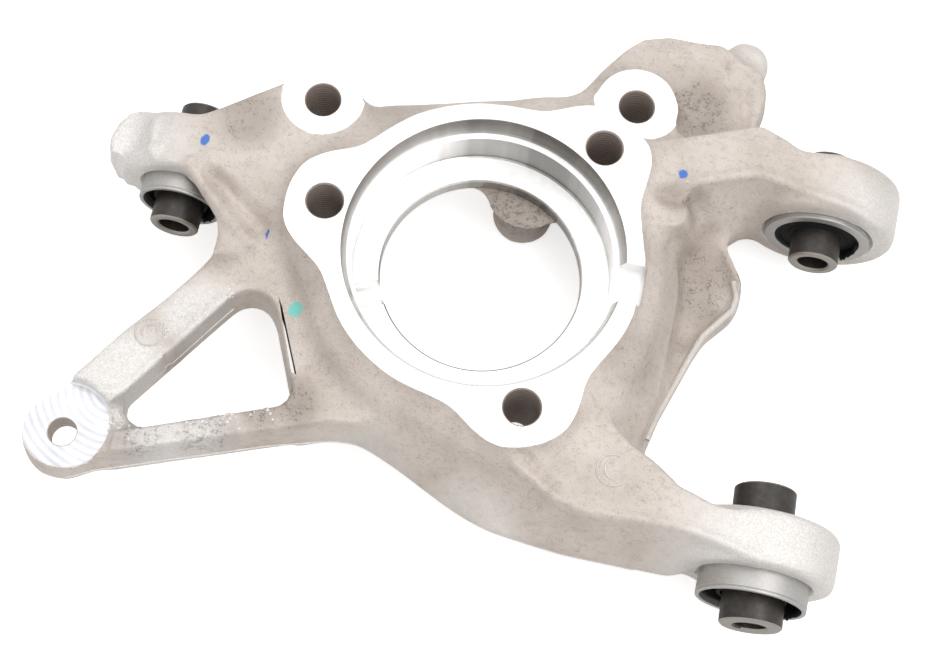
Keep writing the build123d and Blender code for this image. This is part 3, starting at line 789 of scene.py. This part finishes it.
def drilledAluminium():
    # drilled wall: a warm grey, with tool rings down its depth, real marks whose thin pale lines are a
    # painted highlight
    material, tree, shader = newMaterial("drilledAluminium")
    shade, pale, pitch = cutMetal["drilled"]
    place = addNode(tree, "ShaderNodeTexCoord").outputs["Object"]
    rings = addNode(
        tree, "ShaderNodeTexWave",
        {"wave_type": "BANDS", "bands_direction": "Z", "Scale": waveScale(pitch), "Distortion": 1.5,
         "Detail": 2.0},
        {"Vector": place},
    )
    colour = addNode(
        tree, "ShaderNodeMix", {"data_type": "RGBA", 6: linear(shade), 7: linear(pale)},
        {0: rings.outputs["Fac"]},
    )
    gloss = {"Metallic": 0.3, "Roughness": 0.42}
    dressed(tree, shader, colour.outputs[2], gloss, rings.outputs["Fac"], 0.35, 0.2)
    return material


skins = [castAluminium(), milledAluminium(), turnedAluminium(), drilledAluminium(), spotfacedAluminium()]
cast, milled, turned, drilled, spotfaced = range(len(skins))

# how far past a cut a face still counts as machined
zones = {
    "level": 0.05,
    "side": 0.1,
    "hole": 0.6,
    "lugHole": 0.5,
    "boss": 0.9,
    "notchReach": 53,
    "bore": (40.4, 56.1, -34.02),  # least and greatest radius, lowest level
    "grooveWall": (54, -32, -15),  # greatest radius, lowest and highest level
    "up": 0.9,  # least Z of the normal of a face that looks up
}


def skinOf(x, y, z, nz):  # which skin a face of the casting has, from its centre and the Z of its normal
    level, side = zones["level"], zones["side"]
    if z > -level and nz > zones["up"]:
        return milled
    reach = hypot(x, y)
    low, high, right, left, depth = casting["notch"]
    overNotch = low < x < high + side and right - side < y < left + side
    if overNotch and z > depth - level and reach > zones["notchReach"]:
        onWall = abs(nz) < side and (abs(y - right) < side or abs(y - left) < side)
        if abs(z - depth) < level or onWall:
            return milled
    least, most, lowest = zones["bore"]
    if least < reach < most and z > lowest:
        return milled if nz > zones["up"] else turned
    most, lowest, highest = zones["grooveWall"]
    if reach < most and lowest < z < highest:
        return turned
    for boltX, boltY in boltPlaces:
        if hypot(x - boltX, y - boltY) < casting["boltHole"] + zones["hole"]:
            return drilled
    for (discX, discY), radius in casting["calipers"]:
        away = hypot(x - discX, y - discY)
        if away < casting["caliperHole"] + zones["hole"]:
            return drilled
        if away < radius + zones["boss"] and z > casting["caliperFace"] - level:
            return milled
    lugX, lugY = casting["lug"]
    if hypot(x - lugX, y - lugY) < casting["lugHole"] + zones["lugHole"]:
        return drilled
    faceX, faceY, wide = casting["spotface"]
    high, low = casting["lugLevels"]
    if hypot(x - faceX, y - faceY) < wide + side and (abs(z - low) < level or z > high - level):
        return spotfaced if abs(z - high) < level else milled
    for eye in casting["eyes"]:
        away = hypot(x - eye["x"], z - eye["z"])
        if away < eye["bore"] + casting["mouth"] + side and eye["y"][0] - 1 < y < eye["y"][1] + 1:
            return milled
    return cast


def finishCasting(piece):
    mesh = piece.data
    mesh.materials.clear()
    for skin in skins:
        mesh.materials.append(skin)
    centres, normals = np.zeros(len(mesh.polygons) * 3), np.zeros(len(mesh.polygons) * 3)
    mesh.polygons.foreach_get("center", centres)
    mesh.polygons.foreach_get("normal", normals)
    rows = np.hstack([centres.reshape(-1, 3) / mm, normals.reshape(-1, 3)[:, 2:]])
    mesh.polygons.foreach_set("material_index", [skinOf(*row) for row in rows.tolist()])
    mesh.polygons.foreach_set("use_smooth", [True] * len(mesh.polygons))
    mesh.set_sharp_from_angle(angle=radians(casting["sharpAngle"]))
    points, _ = vertexArrays(mesh)
    # shine holds a painted sheen; soot holds dark specks and a painted shade
    for name in ("shine", "sootAndShade"):
        amount = np.zeros(len(points))
        for centre, radius, strength in castMetal[name]:
            away = np.linalg.norm(points / mm - np.array(centre), axis=1) / radius
            amount = np.maximum(amount, strength * np.clip(2.0 - 2.0 * away, 0, 1))
        mesh.attributes.new(name, "FLOAT", "POINT").data.foreach_set("value", amount)
    mesh.update()


rayLength = 0.2  # metres, past any point of the part


def newTree(name, sockets):  # a tree with shared inputs and its own, and rays that strike the target
    tree = bpy.data.node_groups.new(name, "GeometryNodeTree")
    # the shared input Shine is how much painted sheen the piece gets
    shared = (
        ("Geometry", "NodeSocketGeometry"), ("Target", "NodeSocketObject"), ("Aim", "NodeSocketVector"),
        ("PaintedSheen", "NodeSocketFloat"), ("Skin", "NodeSocketMaterial"),
    )
    for label, kind in shared + sockets:
        tree.interface.new_socket(label, in_out="INPUT", socket_type=kind)
    tree.interface.new_socket("Geometry", in_out="OUTPUT", socket_type="NodeSocketGeometry")
    given = addNode(tree, "NodeGroupInput").outputs
    target = addNode(
        tree, "GeometryNodeObjectInfo", {"transform_space": "RELATIVE"}, {"Object": given["Target"]},
    )
    strike = addNode(
        tree, "GeometryNodeRaycast", {"Ray Length": rayLength},
        {"Target Geometry": target.outputs["Geometry"], "Ray Direction": given["Aim"]},
    )
    return tree, given, strike.outputs


def endTree(tree, given, geometry):  # the tree's last nodes: instances made real, their painted sheen and their skin
    real = addNode(tree, "GeometryNodeRealizeInstances", {}, {"Geometry": geometry})
    marked = addNode(
        tree, "GeometryNodeStoreNamedAttribute", {"data_type": "FLOAT", "domain": "POINT", "Name": "shine"},
        {"Geometry": real.outputs[0], "Value": given["PaintedSheen"]},
    )
    skin = addNode(
        tree, "GeometryNodeSetMaterial", {}, {"Geometry": marked.outputs[0], "Material": given["Skin"]},
    )
    addNode(tree, "NodeGroupOutput", {}, {"Geometry": skin.outputs[0]})
    return tree


def beadTree():  # lays a round bead along each path
    tree, given, strike = newTree("surfaceBead", (("Bead", "NodeSocketFloat"),))
    missed = addNode(tree, "FunctionNodeBooleanMath", {"operation": "NOT"}, {0: strike["Is Hit"]})
    kept = addNode(
        tree, "GeometryNodeDeleteGeometry", {"domain": "POINT"},
        {"Geometry": given["Geometry"], "Selection": missed.outputs[0]},
    )
    laid = addNode(
        tree, "GeometryNodeSetPosition", {},
        {"Geometry": kept.outputs[0], "Position": strike["Hit Position"]},
    )
    curve = addNode(tree, "GeometryNodeMeshToCurve", {}, {"Mesh": laid.outputs[0]})
    ring = addNode(tree, "GeometryNodeCurvePrimitiveCircle", {"Resolution": 8}, {"Radius": given["Bead"]})
    solid = addNode(
        tree, "GeometryNodeCurveToMesh", {"Fill Caps": True},
        {"Curve": curve.outputs[0], "Profile Curve": ring.outputs["Curve"]},
    )
    return endTree(tree, given, solid.outputs[0])


def lumpTree():  # strews flattened lumps over the points, each turned to lie on the skin
    tree, given, strike = newTree("strewnLumps", (
        ("Lump", "NodeSocketFloat"), ("Least", "NodeSocketVector"), ("Most", "NodeSocketVector"),
        ("Seed", "NodeSocketInt"),
    ))
    laid = addNode(
        tree, "GeometryNodeSetPosition", {},
        {"Geometry": given["Geometry"], "Position": strike["Hit Position"]},
    )
    spread = addNode(
        tree, "FunctionNodeRandomValue", {"data_type": "FLOAT_VECTOR"},
        {0: given["Least"], 1: given["Most"], "Seed": given["Seed"]},
    )
    upright = addNode(
        tree, "FunctionNodeAlignRotationToVector", {"axis": "Z"}, {"Vector": strike["Hit Normal"]},
    )
    lump = addNode(tree, "GeometryNodeMeshIcoSphere", {"Subdivisions": 2}, {"Radius": given["Lump"]})
    lumps = addNode(
        tree, "GeometryNodeInstanceOnPoints", {},
        {"Points": laid.outputs[0], "Selection": strike["Is Hit"], "Instance": lump.outputs["Mesh"],
         "Rotation": upright.outputs[0], "Scale": spread.outputs[0]},
    )
    return endTree(tree, given, lumps.outputs[0])


def grownFrom(name, mesh, tree, values):  # a piece that a node tree grows from a few edges or points
    piece = newPiece(name, mesh)
    grow = piece.modifiers.new("grow", "NODES")
    grow.node_group = tree
    for item in tree.interface.items_tree:
        if item.in_out == "INPUT" and item.name in values:
            grow[item.identifier] = values[item.name]
    finalMesh(piece)
    piece.data.polygons.foreach_set("use_smooth", [True] * len(piece.data.polygons))
    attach(piece, "root")
    print("grown:", name, len(piece.data.polygons), "faces")
    return piece


def ringPath(x, y, radius, start=0.0, sweep=360.0):  # an arc over the casting, a point every 7.5 degrees
    count = int(sweep / 7.5)
    angles = [radians(start + sweep * i / count) for i in range(count + (sweep < 360))]
    return sweep >= 360, [(x + radius * cos(a), y + radius * sin(a), 3.0) for a in angles]


def evenPath(corners, step=1.2):  # an open path with a point about every step
    points = []
    for start, end in zip(corners, corners[1:]):
        start, end = Vector(start), Vector(end)
        count = max(1, int((end - start).length / step))
        points += [tuple(start.lerp(end, i / count)) for i in range(count)]
    return False, points + [tuple(corners[-1])]


castMarks = {
    "rings": (ringPath(-120.2, -57.8, 5.6), ringPath(-120.2, -57.8, 3.1, 20, 210),
              ringPath(66.4, -74.6, 6.2, 75, 240), ringPath(67.4, -74.2, 4.0, 120, 150)),
    "ringBead": 0.42,
    "seam": evenPath(
        ((-139, -170, -30), (-66, -170, -30.5), (-38, -170, -36), (20, -170, -38), (84, -170, -38)), 1.6,
    ),
    "seamBead": 0.5,
    "finRim": evenPath(((101.0, 22.5, -8), (103.2, 15, -8), (102.2, 9.6, -8), (97, 2.4, -8), (92.4, -4.2, -8),
                        (89, -14.3, -8), (84.8, -28, -8), (80.4, -42.4, -8), (78.4, -52, -8))),
    "rimBead": 1.5,
    "windowRidge": evenPath(((-103, -83, -27), (-81, -44, -27))),
    "windowAim": (-0.86, 0.51, 0.0),
    "windowBead": 0.55,
    # strips of small lumps: ends, spread and count
    "blisters": ((-120, -62), (-92, -34), 6.0, 90),
    "crumbs": ((-126, -99), (-66, -76), 5.5, 120),
    "lump": 0.8,
    "lumpScales": ((0.35, 0.35, 0.12), (1.25, 1.0, 0.3)),
}


def strewn(name, start, end, spread, count, height, seed):  # points about the line from start to end
    random = np.random.default_rng(seed)
    share, away = random.random(count), random.normal(0, spread / 2, count)
    start, end = np.array(start), np.array(end)
    across = np.array([start[1] - end[1], end[0] - start[0]]) / np.linalg.norm(end - start)
    flat = start + share[:, None] * (end - start) + away[:, None] * across
    mesh = bpy.data.meshes.new(name)
    mesh.from_pydata([(x * mm, y * mm, height * mm) for x, y in flat.tolist()], [], [])
    return mesh


finishCasting(blank)
knuckle = blank
knuckle.name = "knuckleCasting"
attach(knuckle, "root")
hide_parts("knuckle_casting")
beads, lumps = beadTree(), lumpTree()
down, inward = (0.0, 0.0, -1.0), (0.0, 1.0, 0.0)
# the last number of each bead is how much painted sheen lightens it
castBeads = (
    ("castRings", castMarks["rings"], down, castMarks["ringBead"], 0.45),
    ("partingSeam", (castMarks["seam"],), inward, castMarks["seamBead"], 0.9),
    ("finRim", (castMarks["finRim"],), down, castMarks["rimBead"], 0.45),
    ("windowRidge", (castMarks["windowRidge"],), castMarks["windowAim"], castMarks["windowBead"], 0.8),
)
for name, paths, aim, bead, gloss in castBeads:
    values = {"Target": knuckle, "Aim": aim, "Bead": bead * mm, "PaintedSheen": gloss, "Skin": skins[cast]}
    grownFrom(name, pathMesh(name, paths), beads, values)
least, most = castMarks["lumpScales"]
for name, seed in (("blisters", 4), ("crumbs", 9)):
    start, end, spread, count = castMarks[name]
    # the lumps get a strong painted sheen
    values = {"Target": knuckle, "Aim": down, "Lump": castMarks["lump"] * mm, "Least": least, "Most": most,
              "PaintedSheen": 0.85, "Seed": seed, "Skin": skins[cast]}
    grownFrom(name, strewn(name, start, end, spread, count, 3.0, seed), lumps, values)
print("stage: casting finished")


# bushings

bushings = (
    {"side": "left", "x": -126.0, "z": -32.0, "lean": 0.0, "sleeve": (-6.9, 45.4), "sleeveRadius": 9.95,
     "shell": (2.2, 35.0), "shellRadius": 16.8, "wall": 1.8},
    {"side": "right", "x": 131.1, "z": -32.0, "lean": 0.0, "sleeve": (37.7, 84.7), "sleeveRadius": 10.1,
     "shell": (48.5, 75.5), "shellRadius": 21.4, "wall": 4.2, "recess": 0.9, "channel": 0.9},
    {"side": "lower", "x": 130.2, "z": -34.0, "lean": 3.1, "sleeve": (-115.3, -60.0), "sleeveRadius": 12.3,
     "shell": (-106.5, -74.0), "shellRadius": 21.7, "wall": 1.8},
)
bushingForm = {
    "bore": 6.2, "segments": 128, "sharpAngle": 34,
    "bevel": 0.8, "bevelArc": 0.35,  # at the ends of the sleeve
    "shellArcs": (0.4, 0.5, 0, 0.2, 0, 0.8, 0.4), "shellGroove": (1.0, 1.3, 1.6, 0.35),
    "recess": 2.5, "channel": 6.0, "channelLean": 0.3, "skin": 1.4,
    "rubberArcs": (0, 0.5, 0.9, 0.9, 0.5, 0),
    "tabAngles": (-58, -47, -38, -30, -21, -13, -2, 9), "tabInset": 1.1, "tabStart": 6, "tab": 1.2,
    "tabScales": ((0.6, 0.6, 1.6), (1.15, 1.0, 3.2)),
}

# low and high tone, pattern size in millimetres, detail and roughness of the pattern
bushingTones = {
    "phosphated": ("#2a2725", "#5a5551", 2.4, 5.0, 0.7),
    "faced": ("#8f8983", "#b3ada7", 0.6, 4.0, 0.6),
    "drawn": ("#a9a7a4", "#c6c4c1", 1.2, 4.0, 0.6),
    "rubber": ("#0a0a0a", "#1b1a1a", 1.7, 4.0, 0.6),
}


def clouded(name, tones, gloss, strength, depth):  # a material in two tones that one noise mixes and raises
    material, tree, shader = newMaterial(name)
    low, high, size, detail, rough = bushingTones[tones]
    place = addNode(tree, "ShaderNodeTexCoord").outputs["Object"]
    noise = addNode(
        tree, "ShaderNodeTexNoise", {"Scale": 1 / (size * mm), "Detail": detail, "Roughness": rough},
        {"Vector": place},
    ).outputs["Fac"]
    colour = addNode(
        tree, "ShaderNodeMix", {"data_type": "RGBA", 6: linear(low), 7: linear(high)}, {0: noise},
    )
    dressed(tree, shader, colour.outputs[2], gloss, noise, strength, depth)
    return material


# steel tube with a manganese phosphate coat: fine dark crystals, near black with a dull sheen
sleeveSkin = clouded("phosphatedSteel", "phosphated", {"Metallic": 0.7, "Roughness": 0.42}, 0.25, 0.2)
# bare steel, faced on a lathe: grey with a satin gloss and slight clouding
facedSkin = clouded("facedSteel", "faced", {"Metallic": 1.0, "Roughness": 0.42}, 0.15, 0.1)
# bare steel, deep drawn: paler and duller, its clouding twice as wide
shellSkin = clouded("drawnSteel", "drawn", {"Metallic": 1.0, "Roughness": 0.5}, 0.15, 0.1)
# natural rubber as it left its mould: black, with a faint grey bloom
rubberSkin = clouded("mouldedRubber", "rubber", {"Roughness": 0.78, "Specular IOR Level": 0.25}, 0.3, 0.2)


def finished(piece, materials, node):
    for material in materials:
        piece.data.materials.append(material)
    piece.data.polygons.foreach_set("use_smooth", [True] * len(piece.data.polygons))
    piece.data.set_sharp_from_angle(angle=radians(bushingForm["sharpAngle"]))
    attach(piece, "root")
    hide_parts(node)


def makeSleeve(b):
    bore, r, bevel = bushingForm["bore"], b["sleeveRadius"], bushingForm["bevel"]
    low, high = b["sleeve"]
    middle = (low + high) / 2
    low, high = low - middle, high - middle
    corners = [(bore, low + bevel), (bore + bevel, low), (r - bevel, low), (r, low + bevel),
               (r, high - bevel), (r - bevel, high), (bore + bevel, high), (bore, high - bevel)]
    outline = rounded(corners, [bushingForm["bevelArc"]], 3)
    mesh = turnedMesh("sleeve", outline, bushingForm["segments"], True)
    sleeve = newPiece(b["side"] + "Sleeve", placed(mesh, (b["x"], middle, b["z"]), b["lean"]))
    for face in sleeve.data.polygons:
        away = Vector((face.center.x / mm - b["x"], face.center.z / mm - b["z"])).length
        if abs(face.normal.y) > 0.5 and away > bore:
            face.material_index = 1
    finished(sleeve, [sleeveSkin, facedSkin], b["side"] + "_bushing_sleeve")


def makeShell(b):
    start, end = b["shell"]
    outer, inner = b["shellRadius"], b["shellRadius"] - b["wall"]
    first, middle, last, depth = bushingForm["shellGroove"]
    corners = [(inner, start), (outer, start), (outer, start + first), (outer - depth, start + middle),
               (outer, start + last), (outer, end), (inner, end)]
    outline = rounded(corners, bushingForm["shellArcs"], 5)
    mesh = turnedMesh("shell", outline, bushingForm["segments"], True)
    shell = newPiece(b["side"] + "Shell", placed(mesh, (b["x"], 0, b["z"]), 0))
    finished(shell, [shellSkin], b["side"] + "_bushing_shell")


def makeRubber(b):
    form, r, inner = bushingForm, b["sleeveRadius"], b["shellRadius"] - b["wall"]
    start, end = b["shell"]
    recess, deep = (b.get(size, form[size]) for size in ("recess", "channel"))
    lean = form["channelLean"]
    low, high = start + recess, end - recess
    near, far = r + form["skin"], inner - form["skin"]
    corners = [(r, low), (near, low), (near + lean, low + deep), (far - lean, low + deep), (far, low),
               (inner, low), (inner, high), (far, high), (far - lean, high - deep),
               (near + lean, high - deep), (near, high), (r, high)]
    outline = rounded(corners, form["rubberArcs"], 4)
    mesh = turnedMesh("rubber", outline, form["segments"], True)
    rubber = newPiece(b["side"] + "Rubber", placed(mesh, (b["x"], 0, b["z"]), 0))
    finished(rubber, [rubberSkin], b["side"] + "_bushing_rubber")
    reach, angles = inner - form["tabInset"], [radians(a) for a in form["tabAngles"]]
    points = [(b["x"] + reach * cos(a), start - form["tabStart"], b["z"] + reach * sin(a)) for a in angles]
    tabs = bpy.data.meshes.new("tabs")
    tabs.from_pydata([[v * mm for v in point] for point in points], [], [])
    least, most = form["tabScales"]
    values = {"Target": rubber, "Aim": inward, "Lump": form["tab"] * mm, "Least": least, "Most": most,
              "PaintedSheen": 0.0, "Seed": 3, "Skin": rubberSkin}
    grownFrom(b["side"] + "RubberTabs", tabs, lumps, values)


for bushing in bushings:
    makeSleeve(bushing)
    makeShell(bushing)
    makeRubber(bushing)
print("stage: bushings")


# stage and light

stageForm = {
    "level": -64.9, "size": 3000.0, "thickness": 5, "floorTone": "#e9e8e7", "glow": 0.62,
    "sky": ("#c6c6c7", "#e2e2e3", "#ffffff"), "skyMiddle": 0.4, "skyTop": 0.9, "skyStrength": 0.95,
    "lampSize": 700,
    "lamps": (  # place, target and watts
        ("topLamp", (-350, 450, 900), (0, 0, -20), 1.8),
        ("sideLamp", (420, -60, 800), (60, 0, -20), 2.8),
    ),
}


def makeFloor():  # a matt pale floor that the camera sees near white, with the part's shadow
    material, tree, shader = newMaterial("paleFloor")
    shader.inputs["Base Color"].default_value = linear(stageForm["floorTone"])
    shader.inputs["Roughness"].default_value = 0.9
    shader.inputs["Specular IOR Level"].default_value = 0.0
    path = addNode(tree, "ShaderNodeLightPath")
    glow = addNode(tree, "ShaderNodeEmission", {"Color": (1, 1, 1, 1), "Strength": stageForm["glow"]})
    total = addNode(
        tree, "ShaderNodeAddShader", {}, {0: shader.outputs["BSDF"], 1: glow.outputs["Emission"]},
    )
    pick = addNode(
        tree, "ShaderNodeMixShader", {},
        {0: path.outputs["Is Camera Ray"], 1: shader.outputs["BSDF"], 2: total.outputs[0]},
    )
    out = [n for n in tree.nodes if n.type == "OUTPUT_MATERIAL"][0]
    tree.links.new(pick.outputs[0], out.inputs["Surface"])
    half, level = stageForm["size"] / 2, stageForm["level"]
    corners = ((-half, -half), (half, -half), (half, half), (-half, half))
    floor = newPiece("paleFloor", prismMesh("paleFloor", corners, level - stageForm["thickness"], level))
    floor.data.materials.append(material)


def makeWorld():  # a soft sky that lights the part, and plain white to the camera and in reflections
    world = bpy.data.worlds.new("softSky")
    world.use_nodes = True
    bpy.context.scene.world = world
    tree = world.node_tree
    tree.nodes.clear()
    place = addNode(tree, "ShaderNodeTexCoord").outputs["Generated"]
    height = addNode(tree, "ShaderNodeSeparateXYZ", {}, {0: place}).outputs["Z"]
    ramp = addNode(tree, "ShaderNodeValToRGB", {}, {"Fac": height})
    low, middle, high = (linear(code) for code in stageForm["sky"])
    ends = ramp.color_ramp.elements
    ends[0].position, ends[0].color = 0.0, low
    ends[1].position, ends[1].color = stageForm["skyTop"], high
    ends.new(stageForm["skyMiddle"]).color = middle
    sky = addNode(
        tree, "ShaderNodeBackground", {"Strength": stageForm["skyStrength"]},
        {"Color": ramp.outputs["Color"]},
    )
    white = addNode(tree, "ShaderNodeBackground", {"Color": (1, 1, 1, 1), "Strength": 1.0})
    path = addNode(tree, "ShaderNodeLightPath")
    seen = addNode(
        tree, "ShaderNodeMath", {"operation": "ADD"},
        {0: path.outputs["Is Camera Ray"], 1: path.outputs["Is Glossy Ray"]},
    )
    seen = addNode(
        tree, "ShaderNodeMath", {"operation": "ADD", "use_clamp": True},
        {0: seen.outputs[0], 1: path.outputs["Is Transmission Ray"]},
    )
    pick = addNode(
        tree, "ShaderNodeMixShader", {}, {0: seen.outputs[0], 1: sky.outputs[0], 2: white.outputs[0]},
    )
    addNode(tree, "ShaderNodeOutputWorld", {}, {"Surface": pick.outputs[0]})


def makeLamp(name, place, target, power):
    lamp = bpy.data.objects.new(name, bpy.data.lights.new(name, "AREA"))
    lamp.data.shape = "DISK"
    lamp.data.size = stageForm["lampSize"] * mm
    lamp.data.energy = power
    lamp.location = Vector(place) * mm
    lamp.rotation_euler = (Vector(target) * mm - lamp.location).to_track_quat("-Z", "Y").to_euler()
    bpy.context.scene.collection.objects.link(lamp)


makeFloor()
makeWorld()
for name, place, target, power in stageForm["lamps"]:
    makeLamp(name, place, target, power)
print("stage: floor and light")
